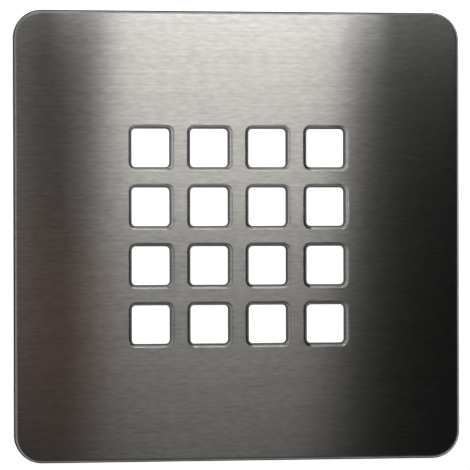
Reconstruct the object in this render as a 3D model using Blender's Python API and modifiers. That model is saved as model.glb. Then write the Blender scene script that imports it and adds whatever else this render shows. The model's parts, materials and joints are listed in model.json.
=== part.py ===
"""Floor drain grate: a square stainless cover plate with a field of water holes, on four levelling feet.

Four studs are welded under the corners of the plate. A fluted nylon foot with a brass thread insert runs on
each stud, a washer and a thin hexagon nut lock it, and a rubber sole swivels in its base.
Lengths are in metres, +Z is up, and the origin lies on the floor under the middle of the plate.
"""

import math

import bmesh
import bpy
from mathutils import Matrix

# Cover plate
PLATE_SIDE = 0.130
PLATE_THICKNESS = 0.003
PLATE_CORNER_RADIUS = 0.008
TOP_EDGE_ROUND = 0.0012

# Water holes, in a square field in the middle of the plate
HOLES_PER_SIDE = 4
HOLE_PITCH = 0.017
HOLE_SIDE = 0.0111
HOLE_CORNER_RADIUS = 0.0012

# Thread shared by the stud, the insert and the nut
THREAD_DIAMETER = 0.005
THREAD_PITCH = 0.0008
THREAD_CLEARANCE = 0.0001

# Levelling travel, in turns of the thread
FOOT_TURNS_UP = 2.0
NUT_TURNS_UP = 0.5

# Weld stud
FOOT_INSET = 0.016
STUD_FLANGE_DIAMETER = 0.0076
STUD_FLANGE_THICKNESS = 0.0009
STUD_TIP_CHAMFER = 0.0006

# Lock nut and washer
NUT_ACROSS_FLATS = 0.008
NUT_THICKNESS = 0.0027
NUT_CORNER_CHAMFER = 0.0005
WASHER_DIAMETER = 0.010
WASHER_THICKNESS = 0.001

# Thread insert
INSERT_LENGTH = 0.006
INSERT_WALL = 0.0009
INSERT_HEAD_OVERHANG = 0.0007
INSERT_HEAD_THICKNESS = 0.0007
INSERT_GROOVE_DEPTH = 0.0004
INSERT_GROOVE_WIDTH = 0.0012

# Nylon foot
FOOT_DIAMETER = 0.016
FOOT_EDGE_CHAMFER = 0.0008
FOOT_WEB = 0.0008
FLUTES_PER_FOOT = 12
FLUTE_RADIUS = 0.0013
FLUTE_DEPTH = 0.0008

# Rubber sole
PAD_DIAMETER = 0.0145
PAD_THICKNESS = 0.0025
PAD_EDGE_CHAMFER = 0.0005
PAD_STEM_DIAMETER = 0.006
PAD_STEM_LENGTH = 0.0016
PAD_STEM_CHAMFER = 0.0003

# Clearances between pieces
SEAT_GAP = 0.0001
STOP_GAP = 0.0003

# Smoothness of round shapes, and how far a cutter runs past what it cuts
ROUND_STEPS = 24
PLATE_CORNER_STEPS = 6
HOLE_CORNER_STEPS = 4
EDGE_ROUND_STEPS = 3
CUTTER_OVERRUN = 0.001
WELD_DISTANCE = 0.00001
SMOOTH_ANGLE = math.radians(35)

# Heights above the floor, stacked from the sole up to the plate
FOOT_UP_TRAVEL = FOOT_TURNS_UP * THREAD_PITCH
NUT_UP_TRAVEL = NUT_TURNS_UP * THREAD_PITCH
SOCKET_DEPTH = PAD_STEM_LENGTH + SEAT_GAP
POCKET_DEPTH = INSERT_LENGTH + SEAT_GAP
FOOT_HEIGHT = SOCKET_DEPTH + FOOT_WEB + POCKET_DEPTH
FOOT_BASE_Z = PAD_THICKNESS + SEAT_GAP
FOOT_TOP_Z = FOOT_BASE_Z + FOOT_HEIGHT
WASHER_BASE_Z = FOOT_TOP_Z + SEAT_GAP
NUT_BASE_Z = WASHER_BASE_Z + WASHER_THICKNESS + SEAT_GAP
NUT_TOP_Z = NUT_BASE_Z + NUT_THICKNESS
STUD_FLANGE_BASE_Z = NUT_TOP_Z + NUT_UP_TRAVEL + FOOT_UP_TRAVEL + STOP_GAP
STUD_TOP_Z = STUD_FLANGE_BASE_Z + STUD_FLANGE_THICKNESS
STUD_TIP_Z = FOOT_TOP_Z - POCKET_DEPTH + FOOT_UP_TRAVEL + STOP_GAP
PLATE_BASE_Z = STUD_TOP_Z + SEAT_GAP

# Feet by corner, as the side of the plate that each one stands on
FOOT_OFFSET = PLATE_SIDE / 2 - FOOT_INSET
CORNERS = {
    "front_left": (-1, -1),
    "front_right": (1, -1),
    "back_left": (-1, 1),
    "back_right": (1, 1),
}


def clear_scene():
    for obj in list(bpy.data.objects):
        bpy.data.objects.remove(obj, do_unlink=True)


def make_collection(name):
    collection = bpy.data.collections.new(name)
    bpy.context.scene.collection.children.link(collection)
    return collection


def make_material(name, colour, roughness, metallic):
    material = bpy.data.materials.new(name)
    material.use_nodes = True
    shader = material.node_tree.nodes["Principled BSDF"]
    shader.inputs["Base Color"].default_value = (*colour, 1.0)
    shader.inputs["Roughness"].default_value = roughness
    shader.inputs["Metallic"].default_value = metallic
    return material


def make_materials():
    return {
        "plate": make_material("brushed_stainless", (0.60, 0.60, 0.58), 0.30, 1.0),
        "steel": make_material("turned_stainless", (0.62, 0.62, 0.61), 0.25, 1.0),
        "brass": make_material("brass", (0.75, 0.56, 0.25), 0.30, 1.0),
        "nylon": make_material("black_nylon", (0.035, 0.036, 0.038), 0.50, 0.0),
        "rubber": make_material("grey_rubber", (0.075, 0.075, 0.078), 0.80, 0.0),
    }


def clear_radius(shaft_radius, clearance):
    """Corner radius of a many-sided bore whose flats still clear a shaft of this radius."""
    return (shaft_radius + clearance) / math.cos(math.pi / ROUND_STEPS)


THREAD_RADIUS = THREAD_DIAMETER / 2
THREAD_BORE_RADIUS = clear_radius(THREAD_RADIUS, THREAD_CLEARANCE)
INSERT_RADIUS = THREAD_BORE_RADIUS + INSERT_WALL
INSERT_HEAD_RADIUS = INSERT_RADIUS + INSERT_HEAD_OVERHANG


def add_object(name, mesh, collection):
    obj = bpy.data.objects.new(name, mesh)
    collection.objects.link(obj)
    return obj


def make_cutter(obj):
    obj.hide_render = True
    obj.display_type = "WIRE"
    return obj


def add_boolean(obj, cutter, operation):
    modifier = obj.modifiers.new(operation.lower(), "BOOLEAN")
    modifier.operation = operation
    modifier.solver = "EXACT"
    modifier.object = cutter


def settle(obj):
    """Mesh of a helper, with its modifiers applied and its seams welded. The helper goes."""
    graph = bpy.context.evaluated_depsgraph_get()
    mesh = bpy.data.meshes.new_from_object(obj.evaluated_get(graph))
    mesh.name = obj.name
    bpy.data.objects.remove(obj, do_unlink=True)
    edit = bmesh.new()
    edit.from_mesh(mesh)
    bmesh.ops.remove_doubles(edit, verts=edit.verts, dist=WELD_DISTANCE)
    edit.to_mesh(mesh)
    edit.free()
    mesh.shade_smooth()
    mesh.set_sharp_from_angle(angle=SMOOTH_ANGLE)
    return mesh


def turned(name, profile, collection, closed=False):
    """Body turned about Z from (radius, height) points that run down its outer side."""
    mesh = bpy.data.meshes.new(name)
    edges = [(index, index + 1) for index in range(len(profile) - 1)]
    if closed:
        edges.append((len(profile) - 1, 0))
    mesh.from_pydata([(radius, 0.0, height) for radius, height in profile], edges, [])
    obj = add_object(name, mesh, collection)
    screw = obj.modifiers.new("turn", "SCREW")
    screw.axis = "Z"
    screw.steps = ROUND_STEPS
    screw.render_steps = ROUND_STEPS
    screw.use_merge_vertices = True
    screw.merge_threshold = WELD_DISTANCE
    screw.use_smooth_shade = False
    return obj


def rounded_square(side, corner_radius, corner_steps):
    """Points round a square whose corners are arcs, counter-clockwise."""
    centre = side / 2 - corner_radius
    points = []
    for quarter in range(4):
        middle = math.radians(45 + 90 * quarter)
        centre_x = math.copysign(centre, math.cos(middle))
        centre_y = math.copysign(centre, math.sin(middle))
        for step in range(corner_steps + 1):
            angle = math.radians(90 * quarter + 90 * step / corner_steps)
            x = centre_x + corner_radius * math.cos(angle)
            y = centre_y + corner_radius * math.sin(angle)
            points.append((x, y))
    return points


def add_outline(curve, points, centre=(0.0, 0.0)):
    spline = curve.splines.new("POLY")
    spline.points.add(len(points) - 1)
    for point, (x, y) in zip(spline.points, points):
        point.co = (centre[0] + x, centre[1] + y, 0.0, 1.0)
    spline.use_cyclic_u = True


def hole_centres():
    middle = (HOLES_PER_SIDE - 1) / 2
    steps = [(index - middle) * HOLE_PITCH for index in range(HOLES_PER_SIDE)]
    return [(x, y) for y in steps for x in steps]


def even_faces(mesh):
    """Turns the triangles of the blank's two faces, so that none is a sliver along a row of holes."""
    edit = bmesh.new()
    edit.from_mesh(mesh)
    level = PLATE_THICKNESS - WELD_DISTANCE
    for face in edit.faces:
        face.tag = all(abs(vert.co.z) > level for vert in face.verts)
    flat = [face for face in edit.faces if face.tag]
    inner = [edge for edge in edit.edges if all(face.tag for face in edge.link_faces)]
    bmesh.ops.beautify_fill(edit, faces=flat, edges=inner, method="AREA")
    edit.to_mesh(mesh)
    edit.free()


def plate_blank(collection):
    """Plate of twice the thickness, with the rims of its holes and its outside rounded on both faces."""
    curve = bpy.data.curves.new("plate_outline", "CURVE")
    curve.dimensions = "2D"
    curve.fill_mode = "BOTH"
    curve.extrude = PLATE_THICKNESS - TOP_EDGE_ROUND
    curve.bevel_depth = TOP_EDGE_ROUND
    curve.bevel_resolution = EDGE_ROUND_STEPS - 1
    curve.offset = -TOP_EDGE_ROUND
    add_outline(curve, rounded_square(PLATE_SIDE, PLATE_CORNER_RADIUS, PLATE_CORNER_STEPS))
    hole = rounded_square(HOLE_SIDE, HOLE_CORNER_RADIUS, HOLE_CORNER_STEPS)
    for centre in hole_centres():
        add_outline(curve, hole, centre)
    mesh = settle(add_object("plate_outline", curve, collection))
    even_faces(mesh)
    return mesh


def lower_half_cutter(cutters):
    """Block that takes the lower half off the plate's blank and leaves its underside flat."""
    block = bpy.data.meshes.new("plate_lower_half")
    side = PLATE_SIDE + 2 * CUTTER_OVERRUN
    height = PLATE_THICKNESS + CUTTER_OVERRUN
    edit = bmesh.new()
    bmesh.ops.create_cube(edit, size=1.0)
    bmesh.ops.scale(edit, vec=(side, side, height), verts=edit.verts)
    bmesh.ops.translate(edit, vec=(0.0, 0.0, -height / 2), verts=edit.verts)
    edit.to_mesh(block)
    edit.free()
    return make_cutter(add_object("plate_lower_half", block, cutters))


def make_cover_plate(collection, cutters):
    mesh = plate_blank(collection)
    mesh.name = "cover_plate"
    plate = add_object("cover_plate", mesh, collection)
    cutter = lower_half_cutter(cutters)
    for obj in (plate, cutter):
        obj.location.z = PLATE_BASE_Z
    add_boolean(plate, cutter, "DIFFERENCE")
    return plate


def stud_mesh(collection):
    """Stud with its tip at height 0 and its weld flange at the top."""
    flange_base = STUD_FLANGE_BASE_Z - STUD_TIP_Z
    flange_top = flange_base + STUD_FLANGE_THICKNESS
    flange_radius = STUD_FLANGE_DIAMETER / 2
    profile = [
        (0.0, flange_top),
        (flange_radius, flange_top),
        (flange_radius, flange_base),
        (THREAD_RADIUS, flange_base),
        (THREAD_RADIUS, STUD_TIP_CHAMFER),
        (THREAD_RADIUS - STUD_TIP_CHAMFER, 0.0),
        (0.0, 0.0),
    ]
    return settle(turned("weld_stud", profile, collection))


def nut_mesh(collection, cutters):
    """Thin nut with chamfered corners: a turned ring cut to a hexagon."""
    corner_radius = NUT_ACROSS_FLATS / 2 / math.cos(math.pi / 6)
    slope = NUT_CORNER_CHAMFER / 2
    ring_radius = corner_radius / math.cos(math.pi / ROUND_STEPS)
    profile = [
        (THREAD_BORE_RADIUS, NUT_THICKNESS),
        (ring_radius - NUT_CORNER_CHAMFER, NUT_THICKNESS),
        (ring_radius, NUT_THICKNESS - slope),
        (ring_radius, slope),
        (ring_radius - NUT_CORNER_CHAMFER, 0.0),
        (THREAD_BORE_RADIUS, 0.0),
    ]
    hexagon = bpy.data.meshes.new("nut_hexagon")
    edit = bmesh.new()
    bmesh.ops.create_cone(
        edit,
        cap_ends=True,
        segments=6,
        radius1=corner_radius,
        radius2=corner_radius,
        depth=NUT_THICKNESS + 2 * CUTTER_OVERRUN,
        matrix=Matrix.Translation((0.0, 0.0, NUT_THICKNESS / 2)),
    )
    edit.to_mesh(hexagon)
    edit.free()
    cutter = make_cutter(add_object("nut_hexagon", hexagon, cutters))
    nut = turned("lock_nut", profile, collection, closed=True)
    add_boolean(nut, cutter, "INTERSECT")
    return settle(nut)


def washer_mesh(collection):
    profile = [
        (THREAD_BORE_RADIUS, WASHER_THICKNESS),
        (WASHER_DIAMETER / 2, WASHER_THICKNESS),
        (WASHER_DIAMETER / 2, 0.0),
        (THREAD_BORE_RADIUS, 0.0),
    ]
    return settle(turned("lock_washer", profile, collection, closed=True))


def insert_mesh(collection):
    """Headed insert with a groove round its body that the nylon grips."""
    head_base = INSERT_LENGTH - INSERT_HEAD_THICKNESS
    groove_middle = head_base / 2
    groove_radius = INSERT_RADIUS - INSERT_GROOVE_DEPTH
    profile = [
        (THREAD_BORE_RADIUS, INSERT_LENGTH),
        (INSERT_HEAD_RADIUS, INSERT_LENGTH),
        (INSERT_HEAD_RADIUS, head_base),
        (INSERT_RADIUS, head_base),
        (INSERT_RADIUS, groove_middle + INSERT_GROOVE_WIDTH / 2),
        (groove_radius, groove_middle + INSERT_GROOVE_WIDTH / 2),
        (groove_radius, groove_middle - INSERT_GROOVE_WIDTH / 2),
        (INSERT_RADIUS, groove_middle - INSERT_GROOVE_WIDTH / 2),
        (INSERT_RADIUS, 0.0),
        (THREAD_BORE_RADIUS, 0.0),
    ]
    return settle(turned("thread_insert", profile, collection, closed=True))


def flute_cutter(cutters):
    """Ring of round rods that scallop the grip of a foot."""
    flutes = bpy.data.meshes.new("foot_flutes")
    ring_radius = FOOT_DIAMETER / 2 - FLUTE_DEPTH + FLUTE_RADIUS
    edit = bmesh.new()
    for index in range(FLUTES_PER_FOOT):
        turn = Matrix.Rotation(2 * math.pi * index / FLUTES_PER_FOOT, 4, "Z")
        bmesh.ops.create_cone(
            edit,
            cap_ends=True,
            segments=ROUND_STEPS // 2,
            radius1=FLUTE_RADIUS,
            radius2=FLUTE_RADIUS,
            depth=FOOT_HEIGHT + 2 * CUTTER_OVERRUN,
            matrix=turn @ Matrix.Translation((ring_radius, 0.0, FOOT_HEIGHT / 2)),
        )
    edit.to_mesh(flutes)
    edit.free()
    return make_cutter(add_object("foot_flutes", flutes, cutters))


def foot_mesh(collection, cutters):
    """Fluted foot with a stepped pocket for the insert above and a socket for the sole's stem below."""
    radius = FOOT_DIAMETER / 2
    pocket_floor = FOOT_HEIGHT - POCKET_DEPTH
    pocket_radius = clear_radius(INSERT_RADIUS, SEAT_GAP)
    head_seat = FOOT_HEIGHT - INSERT_HEAD_THICKNESS - SEAT_GAP
    head_radius = clear_radius(INSERT_HEAD_RADIUS, SEAT_GAP)
    socket_radius = clear_radius(PAD_STEM_DIAMETER / 2, SEAT_GAP)
    profile = [
        (0.0, pocket_floor),
        (pocket_radius, pocket_floor),
        (pocket_radius, head_seat),
        (head_radius, head_seat),
        (head_radius, FOOT_HEIGHT),
        (radius - FOOT_EDGE_CHAMFER, FOOT_HEIGHT),
        (radius, FOOT_HEIGHT - FOOT_EDGE_CHAMFER),
        (radius, FOOT_EDGE_CHAMFER),
        (radius - FOOT_EDGE_CHAMFER, 0.0),
        (socket_radius, 0.0),
        (socket_radius, SOCKET_DEPTH),
        (0.0, SOCKET_DEPTH),
    ]
    foot = turned("foot_body", profile, collection)
    add_boolean(foot, flute_cutter(cutters), "DIFFERENCE")
    return settle(foot)


def pad_mesh(collection):
    """Sole with a stem on top that turns in the foot."""
    radius = PAD_DIAMETER / 2
    stem_radius = PAD_STEM_DIAMETER / 2
    stem_top = PAD_THICKNESS + SEAT_GAP + PAD_STEM_LENGTH
    profile = [
        (0.0, stem_top),
        (stem_radius - PAD_STEM_CHAMFER, stem_top),
        (stem_radius, stem_top - PAD_STEM_CHAMFER),
        (stem_radius, PAD_THICKNESS),
        (radius - PAD_EDGE_CHAMFER, PAD_THICKNESS),
        (radius, PAD_THICKNESS - PAD_EDGE_CHAMFER),
        (radius, PAD_EDGE_CHAMFER),
        (radius - PAD_EDGE_CHAMFER, 0.0),
        (0.0, 0.0),
    ]
    return settle(turned("foot_pad", profile, collection))


def make_feet(collection, cutters, materials):
    """Four like feet, each on an empty that stands on the axis of its stud."""
    pieces = {
        "weld_stud": (stud_mesh(collection), STUD_TIP_Z, "steel"),
        "lock_nut": (nut_mesh(collection, cutters), NUT_BASE_Z, "steel"),
        "lock_washer": (washer_mesh(collection), WASHER_BASE_Z, "steel"),
        "thread_insert": (insert_mesh(collection), FOOT_TOP_Z - INSERT_LENGTH, "brass"),
        "foot_body": (foot_mesh(collection, cutters), FOOT_BASE_Z, "nylon"),
        "foot_pad": (pad_mesh(collection), 0.0, "rubber"),
    }
    for piece, (mesh, height, material) in pieces.items():
        mesh.materials.append(materials[material])
    for corner, (side_x, side_y) in CORNERS.items():
        axis = add_object(f"foot_axis_{corner}", None, collection)
        axis.location = (side_x * FOOT_OFFSET, side_y * FOOT_OFFSET, 0.0)
        for piece, (mesh, height, material) in pieces.items():
            obj = add_object(f"{piece}_{corner}", mesh, collection)
            obj.parent = axis
            obj.location.z = height


def main():
    clear_scene()
    collection = make_collection("floor_drain_grate")
    cutters = make_collection("cutters")
    materials = make_materials()
    plate = make_cover_plate(collection, cutters)
    plate.data.materials.append(materials["plate"])
    make_feet(collection, cutters, materials)


main()
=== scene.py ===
"""Looks of the floor drain grate: brushed plate on levelling feet, on a pale floor, seen from above."""

import json
import math

import bmesh
import bpy
from mathutils import Euler, Matrix, Vector


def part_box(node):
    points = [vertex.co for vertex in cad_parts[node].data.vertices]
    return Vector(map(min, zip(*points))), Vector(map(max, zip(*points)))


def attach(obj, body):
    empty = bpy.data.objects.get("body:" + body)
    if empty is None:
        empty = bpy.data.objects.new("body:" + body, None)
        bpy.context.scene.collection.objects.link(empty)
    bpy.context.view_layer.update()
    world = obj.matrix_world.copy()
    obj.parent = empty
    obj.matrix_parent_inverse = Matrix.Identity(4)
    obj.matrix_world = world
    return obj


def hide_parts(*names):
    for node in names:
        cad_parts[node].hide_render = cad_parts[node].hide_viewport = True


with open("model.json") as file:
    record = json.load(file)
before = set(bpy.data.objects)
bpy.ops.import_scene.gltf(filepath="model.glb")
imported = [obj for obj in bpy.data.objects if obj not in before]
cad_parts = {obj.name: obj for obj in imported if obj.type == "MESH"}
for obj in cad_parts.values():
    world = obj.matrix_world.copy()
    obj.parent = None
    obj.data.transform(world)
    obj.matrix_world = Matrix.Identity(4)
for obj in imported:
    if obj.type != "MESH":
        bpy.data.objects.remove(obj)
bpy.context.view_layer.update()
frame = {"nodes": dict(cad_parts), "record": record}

# Plate, in metres: its outside and its holes' places come from the frame
PLATE_LOW, PLATE_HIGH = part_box("cover_plate")
PLATE_SIDE = PLATE_HIGH.x - PLATE_LOW.x
PLATE_THICKNESS = PLATE_HIGH.z - PLATE_LOW.z
PLATE_CORNER_RADIUS = 0.008
PLATE_CORNER_STEPS = 24
TOP_EDGE_ROUND = 0.0012
EDGE_ROUND_STEPS = 12
HOLE_SIDE = 0.0111
HOLE_CORNER_RADIUS = 0.0012
HOLE_CORNER_STEPS = 12
HOLE_BOXES = [opening["box_m"] for opening in frame["record"]["physics"]["openings"]]
MERGE_DISTANCE = 0.00001

# The plate's materials in order, and the tilts from level at which one gives way to the next
BRUSHED, RIM, WALL, UNDERSIDE = range(4)
CUT_EDGE_TILT = math.radians(44)
WALL_TILT = math.radians(80)
UNDERSIDE_NORMAL_Z = -0.9

# Thread and stud: the thread's flats are shares of its pitch
THREAD_RADIUS = 0.0025
THREAD_PITCH = 0.0008
THREAD_DEPTH = 0.00045
THREAD_CREST = 0.125
THREAD_ROOT = 0.25
THREAD_ROWS_PER_PITCH = 16
STUD_TIP_CHAMFER = 0.0006
STUD_FLANGE_RADIUS = 0.0038
STUD_FLANGE_THICKNESS = 0.0009
STUD_FLANGE_ROUND = 0.00015

# Weld collar: its hollow is shares of the overhang and of the flange, its ripples (height, waves, phase)
WELD_OVERHANG = 0.00045
WELD_HOLLOW_REACH = 0.30
WELD_HOLLOW_DROP = 0.12
WELD_DROP = 0.40
WELD_RIPPLES = ((0.10, 5, 0.6), (0.06, 11, 0.0))

# Nut and washer
NUT_FLAT_RADIUS = 0.004
NUT_CORNER_ROUND = 0.00025
NUT_CHAMFER_RADIUS = 0.0038
NUT_CHAMFER_SLOPE = math.tan(math.radians(30))
NUT_STEPS = 288
BORE_RADIUS = 0.0026
BORE_CHAMFER = 0.0003
WASHER_EDGE_ROUND = 0.0003
WASHER_BORE_ROUND = 0.0002
WASHER_LOWER_ROUND = 0.00008

# Nylon foot: its side rows lie between two shares of its height
FLUTES_PER_FOOT = 12
FLUTE_RADIUS = 0.0013
FLUTE_DEPTH = 0.0008
FLUTE_BLEND = 0.00018
FLUTE_STEPS = 24
FOOT_EDGE_ROUND = 0.0008
FOOT_INNER_ROUND = 0.00015
FOOT_SIDE_TOP = 0.85
FOOT_SIDE_BOTTOM = 0.15
FOOT_SIDE_ROWS = 10
FOOT_POCKET_RADIUS = 0.0037
FOOT_POCKET_DEPTH = 0.0061
FOOT_HEAD_RADIUS = 0.0044
FOOT_HEAD_DEPTH = 0.0008
SOCKET_RADIUS = 0.0032
SOCKET_DEPTH = 0.0017

# Rubber sole
PAD_THICKNESS = 0.0025
PAD_EDGE_ROUND = 0.0006
PAD_STEM_RADIUS = 0.003
PAD_STEM_ROUND = 0.0003
PAD_GROOVES = (0.0026, 0.0042, 0.0058)
PAD_GROOVE_WIDTH = 0.0006
PAD_GROOVE_DEPTH = 0.0004

CORNERS = ("front_left", "front_right", "back_left", "back_right")
ROUND_STEPS = 96
FILLET_STEPS = 6
SMOOTH_ANGLE = math.radians(32)

# Brush grain along X: lengths of the streaks along X, Y and Z, and the share that each layer has
GRAIN_LAYERS = (
    ((0.0030, 0.0008, 0.02), 0.55),
    ((0.060, 0.0006, 0.02), 0.25),
    ((0.020, 0.0035, 0.02), 0.20),
)

# Dark and light tone of the cut steel: the rim's near-black tones are painted shade for the dark that
# the outer rounding reflects, the walls' tones are the steel's own
PAINTED_SHADE_RIM_TONES = ((0.02, 0.02, 0.02), (0.06, 0.06, 0.058))
WALL_TONES = ((0.22, 0.22, 0.215), (0.44, 0.437, 0.425))

# Colours of the heat round a weld, and the distances from the stud's axis over which they fade
STRAW_TINT = (0.46, 0.36, 0.20)
STRAW_FADE = (0.0058, 0.0088)
BLUE_TINT = (0.17, 0.19, 0.27)
BLUE_FADE = (0.0046, 0.0062)

# Camera: leans to the left of straight above, at the distance that the plate's outline asks for
CAMERA_DISTANCE = 0.800
CAMERA_LEAN = math.radians(7.88)
CAMERA_ROLL = math.radians(0.16)
CAMERA_AIM = Vector((-0.0012, 0.0003, 0.0))
CAMERA_SENSOR = 36.0
CAMERA_LENS = 212.1
CAMERA_CLIP = (0.01, 20.0)

# Lamps: flat panels, each at a height above the plate, that face down unless they are turned
FACING_RIGHT = (0.0, math.radians(-90), 0.0)
FACING_BACK = (math.radians(90), 0.0, 0.0)
PANELS = {
    "softbox": {"centre": (0.0260, 0.0899), "size": (0.0886, 0.050), "height": 0.217,
                "radiance": 4.75, "colour": (1.0, 0.975, 0.955)},
    "left_fill": {"centre": (-0.1234, 0.236), "size": (0.160, 0.600), "height": 0.120,
                  "radiance": 0.058, "colour": (1.0, 0.95, 0.90)},
    "left_card": {"centre": (-0.0742, 0.060), "size": (0.040, 0.160), "height": 0.100,
                  "radiance": 0.10, "colour": (1.0, 0.97, 0.94)},
    "back_strip": {"centre": (0.0252, 0.0785), "size": (0.1496, 0.018), "height": 0.0425,
                   "radiance": 0.48},
    "back_spot": {"centre": (0.0420, 0.0785), "size": (0.0180, 0.018), "height": 0.040,
                  "radiance": 0.80},
    "back_edge": {"centre": (-0.014, 0.085), "size": (0.117, 0.018), "height": 0.025,
                  "radiance": 0.7},
    "warm_card": {"centre": (-0.046, -0.025), "size": (0.036, 0.040), "height": 0.080,
                  "radiance": 0.085, "colour": (1.0, 0.35, 0.15)},
    "right_fill": {"centre": (0.0715, 0.070), "size": (0.030, 0.040), "height": 0.100,
                   "radiance": 0.065},
    "side_card": {"centre": (-0.050, 0.050), "size": (0.290, 0.090), "height": 0.150,
                  "radiance": 0.40, "turn": FACING_RIGHT},
    "front_card": {"centre": (0.0010, 0.004), "size": (0.062, 0.090), "height": 0.050,
                   "radiance": 0.17, "turn": FACING_BACK},
}

# Floor: how brightly it shows, and the reach of the shade on it, in reflections and to the eye
FLOOR_SIDE = 8.0
FLOOR_TONE = (0.8, 0.8, 0.8)
FLOOR_GLOW = 0.98
FLOOR_SHADE_REACH = 0.08
CONTACT_SHADE_REACH = 0.016

# Room: how bright its sides are, and the parts of each direction's X, Y or Z over which they fade
ROOM_BASE = 0.003
ROOM_LEFT = 0.25
ROOM_LEFT_FADE = (-0.60, -0.25)
ROOM_BACK = 0.05
ROOM_BACK_FADE = (0.6, 0.95)
ROOM_FRONT = 0.08
ROOM_FRONT_FADE = (-0.95, -0.70)
ROOM_CORNER = 0.40
ROOM_CORNER_FADES = {"X": (0.20, 0.50), "Y": (-0.55, -0.25), "Z": (0.35, 0.55)}
SKIRTING_TONE = (1.0, 1.0, 1.0)
SKIRTING_FADE = (math.sin(math.radians(2)), math.sin(math.radians(6)))


def new_object(name, data):
    obj = bpy.data.objects.new(name, data)
    bpy.context.scene.collection.objects.link(obj)
    return obj


def new_mesh(name, points, faces):
    """Smooth mesh with its hard edges kept hard."""
    mesh = bpy.data.meshes.new(name)
    mesh.from_pydata(points, [], faces)
    edit = bmesh.new()
    edit.from_mesh(mesh)
    bmesh.ops.recalc_face_normals(edit, faces=edit.faces)
    edit.to_mesh(mesh)
    edit.free()
    mesh.shade_smooth()
    mesh.set_sharp_from_angle(angle=SMOOTH_ANGLE)
    return mesh


def rounded_square(side, corner_radius, corner_steps):
    """Points round a square whose corners are arcs, counter-clockwise."""
    centre = side / 2 - corner_radius
    points = []
    for quarter in range(4):
        middle = math.radians(45 + 90 * quarter)
        centre_x = math.copysign(centre, math.cos(middle))
        centre_y = math.copysign(centre, math.sin(middle))
        for step in range(corner_steps + 1):
            angle = math.radians(90 * quarter + 90 * step / corner_steps)
            x = centre_x + corner_radius * math.cos(angle)
            y = centre_y + corner_radius * math.sin(angle)
            points.append((x, y))
    return points


def add_outline(curve, points, centre_x=0.0, centre_y=0.0):
    spline = curve.splines.new("POLY")
    spline.points.add(len(points) - 1)
    for point, (x, y) in zip(spline.points, points):
        point.co = (centre_x + x, centre_y + y, 0.0, 1.0)
    spline.use_cyclic_u = True


def plate_blank():
    """Plate of twice the thickness, rounded on both faces, as a curve with a bevel gives it."""
    curve = bpy.data.curves.new("plate_outline", "CURVE")
    curve.dimensions = "2D"
    curve.fill_mode = "BOTH"
    curve.extrude = PLATE_THICKNESS - TOP_EDGE_ROUND
    curve.bevel_depth = TOP_EDGE_ROUND
    curve.bevel_resolution = EDGE_ROUND_STEPS - 1
    curve.offset = -TOP_EDGE_ROUND
    add_outline(curve, rounded_square(PLATE_SIDE, PLATE_CORNER_RADIUS, PLATE_CORNER_STEPS))
    hole = rounded_square(HOLE_SIDE, HOLE_CORNER_RADIUS, HOLE_CORNER_STEPS)
    for low, high in HOLE_BOXES:
        add_outline(curve, hole, (low[0] + high[0]) / 2, (low[1] + high[1]) / 2)
    outline = new_object("plate_outline", curve)
    graph = bpy.context.evaluated_depsgraph_get()
    mesh = bpy.data.meshes.new_from_object(outline.evaluated_get(graph))
    bpy.data.objects.remove(outline, do_unlink=True)
    return mesh


def halve(mesh):
    """Cuts the lower half off the blank and closes it with a flat underside."""
    edit = bmesh.new()
    edit.from_mesh(mesh)
    bmesh.ops.remove_doubles(edit, verts=edit.verts, dist=MERGE_DISTANCE)
    whole = edit.verts[:] + edit.edges[:] + edit.faces[:]
    middle, up = (0, 0, 0), (0, 0, 1)
    cut = bmesh.ops.bisect_plane(edit, geom=whole, plane_co=middle, plane_no=up, clear_inner=True)
    rim = [part for part in cut["geom_cut"] if isinstance(part, bmesh.types.BMEdge)]
    bmesh.ops.triangle_fill(edit, edges=rim, use_beauty=True, normal=(0, 0, -1))
    bmesh.ops.recalc_face_normals(edit, faces=edit.faces)
    edit.to_mesh(mesh)
    edit.free()


def round_normals(mesh):
    """Exact normals: straight up on the face, turning along the rounding, level on the walls."""
    mesh.shade_smooth()
    sideways = {}
    for face in mesh.polygons:
        level = Vector((face.normal.x, face.normal.y, 0.0)) * face.area
        for vertex in face.vertices:
            sideways[vertex] = sideways.get(vertex, Vector()) + level
    normals = []
    for face in mesh.polygons:
        for vertex in face.vertices:
            if face.normal.z < UNDERSIDE_NORMAL_Z:
                normals.append((0.0, 0.0, -1.0))
                continue
            rise = (mesh.vertices[vertex].co.z - PLATE_THICKNESS) / TOP_EDGE_ROUND + 1.0
            rise = min(max(rise, 0.0), 1.0)
            level = sideways[vertex].normalized() * math.sqrt(1.0 - rise * rise)
            normals.append((level.x, level.y, rise))
    mesh.normals_split_custom_set(normals)


def map_grain(mesh):
    """Flat map whose U runs along the brush grain, for the direction of the highlight."""
    grain = mesh.uv_layers.new(name="grain")
    for loop in mesh.loops:
        spot = mesh.vertices[loop.vertex_index].co
        grain.data[loop.index].uv = (spot.x / PLATE_SIDE + 0.5, spot.y / PLATE_SIDE + 0.5)


def plate_material(face):
    """Brushed on top and on the upper rounding, then an outer rim darkened with painted shade, walls,
    and the underside.
    """
    if face.normal.z < UNDERSIDE_NORMAL_Z:
        return UNDERSIDE
    if face.normal.z >= math.cos(CUT_EDGE_TILT):
        return BRUSHED
    from_middle = max(abs(face.center.x), abs(face.center.y))
    outside = from_middle > PLATE_SIDE / 2 - PLATE_CORNER_RADIUS
    # Outer faces between the two tilts get the rim material, whose near-black colour is painted shade
    return RIM if outside and face.normal.z > math.cos(WALL_TILT) else WALL


def make_plate(brushed, rim, wall, underside):
    mesh = plate_blank()
    halve(mesh)
    round_normals(mesh)
    map_grain(mesh)
    for material in (brushed, rim, wall, underside):
        mesh.materials.append(material)
    for face in mesh.polygons:
        face.material_index = plate_material(face)
    plate = new_object("brushed_plate", mesh)
    plate.location.z = PLATE_LOW.z
    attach(plate, "cover")
    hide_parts("cover_plate")


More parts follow.
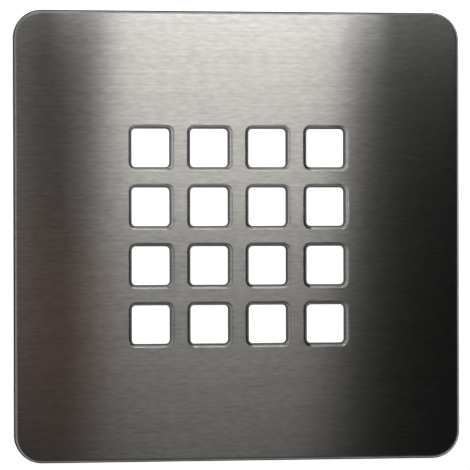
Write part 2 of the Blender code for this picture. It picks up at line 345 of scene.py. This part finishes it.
def fillet(corner, before, after, radius):
    """Points of an arc that rounds the corner of a profile."""
    corner, before, after = Vector(corner), Vector(before), Vector(after)
    into, out = (before - corner).normalized(), (after - corner).normalized()
    half = into.angle(out) / 2
    centre = corner + (into + out).normalized() * (radius / math.sin(half))
    start = corner + into * (radius / math.tan(half)) - centre
    sweep = start.angle_signed(corner + out * (radius / math.tan(half)) - centre)
    points = []
    for step in range(FILLET_STEPS + 1):
        turn = Matrix.Rotation(-sweep * step / FILLET_STEPS, 2)
        points.append(tuple(centre + turn @ start))
    return points


def profile_of(corners):
    """Profile of (radius, height) points from corners that may carry a rounding as a third number."""
    points = []
    for index, corner in enumerate(corners):
        if len(corner) == 2:
            points.append(corner)
        else:
            before, after = corners[index - 1][:2], corners[(index + 1) % len(corners)][:2]
            points.extend(fillet(corner[:2], before, after, corner[2]))
    return points


def turned(name, corners, closed=False, shape=None, steps=ROUND_STEPS):
    """Body turned about Z from a profile. A shape changes the profile's radius and height by angle."""
    profile = profile_of(corners)
    points, rings = [], []
    for radius, height in profile:
        if radius == 0.0:
            rings.append([len(points)] * steps)
            points.append((0.0, 0.0, height))
            continue
        rings.append(list(range(len(points), len(points) + steps)))
        for step in range(steps):
            angle = 2 * math.pi * step / steps
            r, z = shape(radius, height, angle) if shape else (radius, height)
            points.append((r * math.cos(angle), r * math.sin(angle), z))
    pairs = list(zip(rings, rings[1:]))
    if closed:
        pairs.append((rings[-1], rings[0]))
    faces = []
    for upper, lower in pairs:
        for step in range(steps):
            following = (step + 1) % steps
            face = [upper[step], upper[following], lower[following], lower[step]]
            faces.append(tuple(dict.fromkeys(face)))
    return new_mesh(name, points, faces)


def thread_radius(height, angle):
    """Radius of a right-handed thread with flat crests and roots."""
    phase = (height / THREAD_PITCH - angle / (2 * math.pi)) % 1.0
    flank = (1.0 - THREAD_CREST - THREAD_ROOT) / 2
    down = (abs(phase - 0.5) - THREAD_CREST / 2) / flank
    return THREAD_RADIUS - THREAD_DEPTH * min(max(down, 0.0), 1.0)


def stud_mesh(length):
    """Threaded stud from its tip at height 0 up to the plate, with a weld collar round its flange."""
    flange_base = length - STUD_FLANGE_THICKNESS
    rows = round(flange_base / THREAD_PITCH * THREAD_ROWS_PER_PITCH)
    shaft = [(THREAD_RADIUS, flange_base * (1 - row / rows)) for row in range(rows + 1)]
    hollow_radius = STUD_FLANGE_RADIUS + WELD_HOLLOW_REACH * WELD_OVERHANG
    corners = [
        (0.0, length),
        (STUD_FLANGE_RADIUS + WELD_OVERHANG, length),
        (hollow_radius, length - WELD_HOLLOW_DROP * STUD_FLANGE_THICKNESS),
        (STUD_FLANGE_RADIUS, length - WELD_DROP * STUD_FLANGE_THICKNESS),
        (STUD_FLANGE_RADIUS, flange_base, STUD_FLANGE_ROUND),
        *shaft,
        (0.0, 0.0),
    ]

    def shape(radius, height, angle):
        if radius == THREAD_RADIUS:
            run_out = min(max((flange_base - height) / THREAD_PITCH, 0.0), 1.0)
            cut = THREAD_RADIUS - thread_radius(height, angle)
            tip = THREAD_RADIUS - STUD_TIP_CHAMFER + height
            return min(THREAD_RADIUS - cut * run_out, tip), height
        if radius > STUD_FLANGE_RADIUS:
            ripple = 1.0
            for rise, waves, phase in WELD_RIPPLES:
                ripple += rise * math.sin(waves * angle + phase)
            return STUD_FLANGE_RADIUS + (radius - STUD_FLANGE_RADIUS) * ripple, height
        return radius, height

    return turned("threaded_stud", corners, shape=shape)


def nut_mesh(thickness):
    """Hexagon nut with chamfered, slightly rounded corners and a countersunk bore."""
    centre = (NUT_FLAT_RADIUS - NUT_CORNER_ROUND) / math.cos(math.pi / 6)
    widest = centre + NUT_CORNER_ROUND
    corners = [
        (BORE_RADIUS, thickness - BORE_CHAMFER),
        (BORE_RADIUS + BORE_CHAMFER, thickness),
        (NUT_CHAMFER_RADIUS, thickness),
        (widest, thickness),
        (widest, 0.0),
        (NUT_CHAMFER_RADIUS, 0.0),
        (BORE_RADIUS + BORE_CHAMFER, 0.0),
        (BORE_RADIUS, BORE_CHAMFER),
    ]

    def shape(radius, height, angle):
        if radius < widest:
            return radius, height
        off_flat = (angle + math.pi / 6) % (math.pi / 3) - math.pi / 6
        off_corner = math.pi / 6 - abs(off_flat)
        reach = NUT_FLAT_RADIUS / math.cos(off_flat)
        if centre * math.sin(off_corner) < NUT_CORNER_ROUND / 2:
            side = centre * math.sin(off_corner)
            reach = centre * math.cos(off_corner) + math.sqrt(NUT_CORNER_ROUND ** 2 - side ** 2)
        drop = (reach - NUT_CHAMFER_RADIUS) * NUT_CHAMFER_SLOPE
        return reach, thickness - drop if height > thickness / 2 else drop

    return turned("hexagon_nut", corners, closed=True, shape=shape, steps=NUT_STEPS)


def washer_mesh(radius, thickness):
    """Stamped washer: rolled upper edge, nearly sharp lower edge."""
    corners = [
        (BORE_RADIUS, thickness, WASHER_BORE_ROUND),
        (radius, thickness, WASHER_EDGE_ROUND),
        (radius, 0.0, WASHER_LOWER_ROUND),
        (BORE_RADIUS, 0.0, WASHER_LOWER_ROUND),
    ]
    return turned("stamped_washer", corners, closed=True)


def foot_mesh(radius, height):
    """Moulded foot: scalloped grip with soft ridges, insert pocket above and stem socket below."""
    ring = radius - FLUTE_DEPTH + FLUTE_RADIUS
    side_rows = []
    for row in range(FOOT_SIDE_ROWS + 1):
        share = FOOT_SIDE_TOP + (FOOT_SIDE_BOTTOM - FOOT_SIDE_TOP) * row / FOOT_SIDE_ROWS
        side_rows.append((radius, height * share))
    corners = [
        (0.0, height - FOOT_POCKET_DEPTH),
        (FOOT_POCKET_RADIUS, height - FOOT_POCKET_DEPTH),
        (FOOT_POCKET_RADIUS, height - FOOT_HEAD_DEPTH),
        (FOOT_HEAD_RADIUS, height - FOOT_HEAD_DEPTH),
        (FOOT_HEAD_RADIUS, height, FOOT_INNER_ROUND),
        (radius, height, FOOT_EDGE_ROUND),
        *side_rows,
        (radius, 0.0, FOOT_EDGE_ROUND),
        (SOCKET_RADIUS, 0.0, FOOT_INNER_ROUND),
        (SOCKET_RADIUS, SOCKET_DEPTH),
        (0.0, SOCKET_DEPTH),
    ]

    def shape(r, z, angle):
        if r < radius - FOOT_EDGE_ROUND:
            return r, z
        step = 2 * math.pi / FLUTES_PER_FOOT
        off_flute = (angle + step / 2) % step - step / 2
        across = ring * math.sin(off_flute)
        if abs(across) < FLUTE_RADIUS:
            limit = ring * math.cos(off_flute) - math.sqrt(FLUTE_RADIUS ** 2 - across ** 2)
        else:
            limit = ring * math.cos(off_flute) + FLUTE_BLEND
        blend = max(FLUTE_BLEND - abs(r - limit), 0.0) / FLUTE_BLEND
        return min(r, limit) - blend * blend * FLUTE_BLEND / 4, z

    return turned("moulded_foot", corners, shape=shape, steps=FLUTES_PER_FOOT * FLUTE_STEPS)


def pad_mesh(radius, height):
    """Rubber sole: rounded edge, ribbed underside, stem on top."""
    corners = [
        (0.0, height),
        (PAD_STEM_RADIUS, height, PAD_STEM_ROUND),
        (PAD_STEM_RADIUS, PAD_THICKNESS),
        (radius, PAD_THICKNESS, PAD_EDGE_ROUND),
        (radius, 0.0, PAD_EDGE_ROUND),
    ]
    for groove in reversed(PAD_GROOVES):
        outer, inner = groove + PAD_GROOVE_WIDTH / 2, groove - PAD_GROOVE_WIDTH / 2
        corners += [(outer, 0.0), (outer, PAD_GROOVE_DEPTH), (inner, PAD_GROOVE_DEPTH), (inner, 0.0)]
    corners.append((0.0, 0.0))
    return turned("ribbed_sole", corners)


def place(name, mesh, material, node, body):
    """One more object on a mesh, standing where a CAD node stands."""
    if not mesh.materials:
        mesh.materials.append(material)
    low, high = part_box(node)
    obj = new_object(name, mesh)
    obj.location = ((low.x + high.x) / 2, (low.y + high.y) / 2, low.z)
    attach(obj, body)
    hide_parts(node)


def make_feet(steel, nylon, rubber, brass):
    size = {}
    for part in ("lock_nut", "lock_washer", "foot_body", "foot_pad"):
        low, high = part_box(f"{part}_front_left")
        size[part] = high - low
    stud = stud_mesh(PLATE_LOW.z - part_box("weld_stud_front_left")[0].z)
    nut = nut_mesh(size["lock_nut"].z)
    washer = washer_mesh(size["lock_washer"].x / 2, size["lock_washer"].z)
    foot = foot_mesh(size["foot_body"].x / 2, size["foot_body"].z)
    pad = pad_mesh(size["foot_pad"].x / 2, size["foot_pad"].z)
    for corner in CORNERS:
        place(f"stud_{corner}", stud, steel, f"weld_stud_{corner}", "cover")
        place(f"nut_{corner}", nut, steel, f"lock_nut_{corner}", f"nut_{corner}")
        place(f"washer_{corner}", washer, steel, f"lock_washer_{corner}", f"washer_{corner}")
        place(f"foot_{corner}", foot, nylon, f"foot_body_{corner}", f"foot_{corner}")
        place(f"sole_{corner}", pad, rubber, f"foot_pad_{corner}", f"pad_{corner}")
        insert = frame["nodes"][f"thread_insert_{corner}"]
        insert.data.materials.clear()
        insert.data.materials.append(brass)


class Nodes:
    """Short way to write a node tree."""

    def __init__(self, tree):
        self.tree = tree

    def add(self, kind, **settings):
        node = self.tree.nodes.new(kind)
        for name, value in settings.items():
            setattr(node, name, value)
        return node

    def join(self, source, target):
        self.tree.links.new(source, target)

    def noise(self, vector, stretch, detail=2.0, roughness=0.5):
        """Noise from 0 to 1 whose spots have these lengths in metres along X, Y and Z."""
        mapping = self.add("ShaderNodeMapping")
        mapping.inputs["Scale"].default_value = [1.0 / length for length in stretch]
        texture = self.add("ShaderNodeTexNoise")
        texture.inputs["Scale"].default_value = 1.0
        texture.inputs["Detail"].default_value = detail
        texture.inputs["Roughness"].default_value = roughness
        self.join(vector, mapping.inputs["Vector"])
        self.join(mapping.outputs["Vector"], texture.inputs["Vector"])
        return texture.outputs["Fac"]

    def spread(self, value, low, high, start=0.0, end=1.0, smooth=False):
        """A value from start to end spread over low to high."""
        node = self.add("ShaderNodeMapRange")
        if smooth:
            node.interpolation_type = "SMOOTHSTEP"
        for name, number in (("From Min", start), ("From Max", end), ("To Min", low), ("To Max", high)):
            node.inputs[name].default_value = number
        self.join(value, node.inputs["Value"])
        return node.outputs["Result"]

    def math(self, operation, *values):
        node = self.add("ShaderNodeMath", operation=operation)
        for socket, value in zip(node.inputs, values):
            if isinstance(value, (int, float)):
                socket.default_value = value
            else:
                self.join(value, socket)
        return node.outputs["Value"]

    def tint(self, factor, dark, light):
        """Colour between two ends."""
        mix = self.add("ShaderNodeMix", data_type="RGBA")
        for name, colour in (("A", dark), ("B", light)):
            if isinstance(colour, tuple):
                mix.inputs[name].default_value = (*colour, 1.0)
            else:
                self.join(colour, mix.inputs[name])
        self.join(factor, mix.inputs["Factor"])
        return mix.outputs["Result"]

    def bump(self, height, depth):
        node = self.add("ShaderNodeBump")
        node.inputs["Strength"].default_value = 1.0
        node.inputs["Distance"].default_value = depth
        self.join(height, node.inputs["Height"])
        return node.outputs["Normal"]

    def openness(self, reach):
        """1 where nothing stands within reach of the surface, less where something does."""
        node = self.add("ShaderNodeAmbientOcclusion")
        node.inputs["Distance"].default_value = reach
        return node.outputs["AO"]


def new_material(name, metallic, roughness):
    """A material with its middle roughness, its nodes, its shader and the place that is shaded."""
    material = bpy.data.materials.new(name)
    material.use_nodes = True
    shader = material.node_tree.nodes["Principled BSDF"]
    shader.inputs["Metallic"].default_value = metallic
    shader.inputs["Roughness"].default_value = roughness
    nodes = Nodes(material.node_tree)
    position = nodes.add("ShaderNodeTexCoord").outputs["Object"]
    return material, nodes, shader, position


def brushed_steel():
    """Straight brush grain along X: short streaks, long hairlines and broad bands."""
    material, nodes, shader, position = new_material("brushed_steel", metallic=1.0, roughness=0.287)
    streaks = 0.0
    for stretch, share in GRAIN_LAYERS:
        streaks = nodes.math("MULTIPLY_ADD", nodes.noise(position, stretch), share, streaks)
    colour = nodes.tint(streaks, dark=(0.32, 0.317, 0.305), light=(0.92, 0.911, 0.875))
    tangent = nodes.add("ShaderNodeTangent", direction_type="UV_MAP", uv_map="grain")
    nodes.join(colour, shader.inputs["Base Color"])
    nodes.join(nodes.spread(streaks, low=0.275, high=0.299), shader.inputs["Roughness"])
    nodes.join(tangent.outputs["Tangent"], shader.inputs["Tangent"])
    shader.inputs["Anisotropic"].default_value = 1.0
    shader.inputs["Anisotropic Rotation"].default_value = 0.25
    return material


def cut_steel_and_painted_shade(name, dark, light):
    """Dull cut steel with fine lines that run down it; with the rim's near-black tones its colour is
    painted shade.
    """
    material, nodes, shader, position = new_material(name, metallic=1.0, roughness=0.4)
    lines = nodes.noise(position, stretch=(0.0003, 0.0003, 0.004))
    nodes.join(nodes.tint(lines, dark, light), shader.inputs["Base Color"])
    nodes.join(nodes.spread(lines, low=0.34, high=0.50), shader.inputs["Roughness"])
    nodes.join(nodes.bump(lines, depth=0.000008), shader.inputs["Normal"])
    shader.inputs["Specular Tint"].default_value = (0.25, 0.25, 0.25, 1.0)
    return material


def underside_steel():
    """Mill-finished underside, tinted by the heat round each welded stud."""
    material, nodes, shader, position = new_material("underside_steel", metallic=1.0, roughness=0.38)
    cloud = nodes.noise(position, stretch=(0.012, 0.004, 0.02), detail=4.0)
    split = nodes.add("ShaderNodeSeparateXYZ")
    nodes.join(position, split.inputs["Vector"])
    low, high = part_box("weld_stud_back_right")
    squares = []
    for name, middle in (("X", (low.x + high.x) / 2), ("Y", (low.y + high.y) / 2)):
        away = nodes.math("SUBTRACT", nodes.math("ABSOLUTE", split.outputs[name]), middle)
        squares.append(nodes.math("POWER", away, 2.0))
    distance = nodes.math("SQRT", nodes.math("ADD", *squares))
    straw = nodes.spread(distance, 1.0, 0.0, *STRAW_FADE, smooth=True)
    blue = nodes.spread(distance, 1.0, 0.0, *BLUE_FADE, smooth=True)
    colour = nodes.tint(cloud, dark=(0.42, 0.42, 0.41), light=(0.56, 0.555, 0.545))
    colour = nodes.tint(straw, colour, STRAW_TINT)
    colour = nodes.tint(blue, colour, BLUE_TINT)
    nodes.join(colour, shader.inputs["Base Color"])
    nodes.join(nodes.spread(cloud, low=0.32, high=0.45), shader.inputs["Roughness"])
    nodes.join(nodes.bump(cloud, depth=0.00001), shader.inputs["Normal"])
    return material


def turned_steel():
    """Bright machined steel with fine tool rings and a little handling dullness."""
    material, nodes, shader, position = new_material("turned_steel", metallic=1.0, roughness=0.25)
    rings = nodes.noise(position, stretch=(0.004, 0.004, 0.00012))
    dull = nodes.noise(position, stretch=(0.002, 0.002, 0.002), detail=4.0)
    colour = nodes.tint(dull, dark=(0.48, 0.48, 0.47), light=(0.66, 0.655, 0.645))
    nodes.join(colour, shader.inputs["Base Color"])
    nodes.join(nodes.spread(dull, low=0.20, high=0.36), shader.inputs["Roughness"])
    nodes.join(nodes.bump(rings, depth=0.000006), shader.inputs["Normal"])
    return material


def turned_brass():
    """Brass, dulled in small spots."""
    material, nodes, shader, position = new_material("turned_brass", metallic=1.0, roughness=0.3)
    dull = nodes.noise(position, stretch=(0.0015, 0.0015, 0.0008), detail=4.0)
    colour = nodes.tint(dull, dark=(0.58, 0.40, 0.16), light=(0.78, 0.59, 0.28))
    nodes.join(colour, shader.inputs["Base Color"])
    nodes.join(nodes.spread(dull, low=0.24, high=0.42), shader.inputs["Roughness"])
    return material


def black_nylon():
    """Moulded nylon: fine spark-eroded grain and faint cloudiness."""
    material, nodes, shader, position = new_material("black_nylon", metallic=0.0, roughness=0.5)
    grain = nodes.noise(position, stretch=(0.00025, 0.00025, 0.00025), detail=3.0)
    cloud = nodes.noise(position, stretch=(0.004, 0.004, 0.006), detail=3.0)
    colour = nodes.tint(cloud, dark=(0.026, 0.027, 0.029), light=(0.050, 0.051, 0.053))
    nodes.join(colour, shader.inputs["Base Color"])
    nodes.join(nodes.spread(cloud, low=0.42, high=0.58), shader.inputs["Roughness"])
    nodes.join(nodes.bump(grain, depth=0.00003), shader.inputs["Normal"])
    return material


def grey_rubber():
    """Matt rubber with a dusty bloom."""
    material, nodes, shader, position = new_material("grey_rubber", metallic=0.0, roughness=0.8)
    bloom = nodes.noise(position, stretch=(0.002, 0.002, 0.0015), detail=5.0, roughness=0.65)
    grain = nodes.noise(position, stretch=(0.00035, 0.00035, 0.00035), detail=3.0)
    colour = nodes.tint(bloom, dark=(0.055, 0.055, 0.058), light=(0.105, 0.104, 0.104))
    nodes.join(colour, shader.inputs["Base Color"])
    nodes.join(nodes.spread(bloom, low=0.72, high=0.90), shader.inputs["Roughness"])
    nodes.join(nodes.bump(grain, depth=0.00004), shader.inputs["Normal"])
    return material


def make_floor():
    """Floor that shows white to the eye and in reflections, darker where the object is near above it."""
    edit = bmesh.new()
    bmesh.ops.create_grid(edit, x_segments=1, y_segments=1, size=FLOOR_SIDE / 2)
    mesh = bpy.data.meshes.new("floor")
    edit.to_mesh(mesh)
    edit.free()
    material = bpy.data.materials.new("pale_floor")
    material.use_nodes = True
    nodes = Nodes(material.node_tree)
    material.node_tree.nodes.remove(material.node_tree.nodes["Principled BSDF"])
    rays = nodes.add("ShaderNodeLightPath").outputs
    mirrored = nodes.math("MAXIMUM", rays["Is Glossy Ray"], rays["Is Transmission Ray"])
    mirrored = nodes.math("MULTIPLY", mirrored, nodes.openness(FLOOR_SHADE_REACH))
    direct = nodes.math("MULTIPLY", rays["Is Camera Ray"], nodes.openness(CONTACT_SHADE_REACH))
    seen = nodes.math("MAXIMUM", direct, mirrored)
    glow = nodes.add("ShaderNodeEmission")
    nodes.join(nodes.math("MULTIPLY", seen, FLOOR_GLOW), glow.inputs["Strength"])
    matt = nodes.add("ShaderNodeBsdfDiffuse")
    matt.inputs["Color"].default_value = (*FLOOR_TONE, 1.0)
    both = nodes.add("ShaderNodeAddShader")
    nodes.join(matt.outputs["BSDF"], both.inputs[0])
    nodes.join(glow.outputs["Emission"], both.inputs[1])
    nodes.join(both.outputs["Shader"], material.node_tree.nodes["Material Output"].inputs["Surface"])
    mesh.materials.append(material)
    new_object("floor", mesh)


def make_world():
    """Dim room with a white skirting: lighter on the left and low down in its front right corner."""
    world = bpy.data.worlds.new("studio")
    bpy.context.scene.world = world
    world.use_nodes = True
    nodes = Nodes(world.node_tree)
    direction = nodes.add("ShaderNodeTexCoord").outputs["Generated"]
    split = nodes.add("ShaderNodeSeparateXYZ")
    nodes.join(direction, split.inputs["Vector"])

    def fade(axis, before, after, edge):
        return nodes.spread(split.outputs[axis], before, after, *edge, smooth=True)

    left = fade("X", ROOM_LEFT, 0.0, ROOM_LEFT_FADE)
    back = fade("Y", 0.0, ROOM_BACK, ROOM_BACK_FADE)
    front = fade("Y", ROOM_FRONT, 0.0, ROOM_FRONT_FADE)
    level = nodes.math("ADD", nodes.math("ADD", left, back), nodes.math("ADD", front, ROOM_BASE))
    right = fade("X", 0.0, ROOM_CORNER, ROOM_CORNER_FADES["X"])
    corner = nodes.math("MULTIPLY", right, fade("Y", 1.0, 0.0, ROOM_CORNER_FADES["Y"]))
    level = nodes.math("MULTIPLY_ADD", corner, fade("Z", 1.0, 0.0, ROOM_CORNER_FADES["Z"]), level)
    room = nodes.add("ShaderNodeCombineColor")
    for name in ("Red", "Green", "Blue"):
        nodes.join(level, room.inputs[name])
    colour = nodes.tint(fade("Z", 0.0, 1.0, SKIRTING_FADE), SKIRTING_TONE, room.outputs["Color"])
    nodes.join(colour, world.node_tree.nodes["Background"].inputs["Color"])


def add_panel(name, centre, size, height, radiance, colour=(1.0, 1.0, 1.0), turn=(0.0, 0.0, 0.0)):
    """Flat lamp at a height above the plate, facing down unless it is turned."""
    lamp = bpy.data.lights.new(name, "AREA")
    lamp.shape = "RECTANGLE"
    lamp.size, lamp.size_y = size
    lamp.color = colour
    lamp.energy = radiance * math.pi * size[0] * size[1]
    panel = new_object(name, lamp)
    panel.location = (*centre, PLATE_HIGH.z + height)
    panel.rotation_euler = turn
    panel.visible_camera = False


def make_camera():
    camera = bpy.data.cameras.new("camera")
    camera.sensor_width = CAMERA_SENSOR
    camera.lens = CAMERA_LENS
    camera.clip_start, camera.clip_end = CAMERA_CLIP
    obj = new_object("camera", camera)
    turn = Euler((0.0, -CAMERA_LEAN, -CAMERA_ROLL), "ZYX").to_matrix()
    middle = (PLATE_LOW + PLATE_HIGH) / 2
    middle.z = PLATE_HIGH.z
    back = turn @ Vector((0.0, 0.0, CAMERA_DISTANCE))
    obj.matrix_world = Matrix.Translation(middle + CAMERA_AIM + back) @ turn.to_4x4()
    bpy.context.scene.camera = obj


def main():
    bpy.context.scene.view_settings.view_transform = "Standard"
    # The rim's near-black tones are painted shade, standing in for the dark that the outer rounding
    # reflects
    rim = cut_steel_and_painted_shade("painted_shade_rim_steel", *PAINTED_SHADE_RIM_TONES)
    wall = cut_steel_and_painted_shade("cut_wall_steel", *WALL_TONES)
    make_plate(brushed_steel(), rim, wall, underside_steel())
    make_feet(turned_steel(), black_nylon(), grey_rubber(), turned_brass())
    make_floor()
    make_world()
    for name, settings in PANELS.items():
        add_panel(name, **settings)
    make_camera()


main()
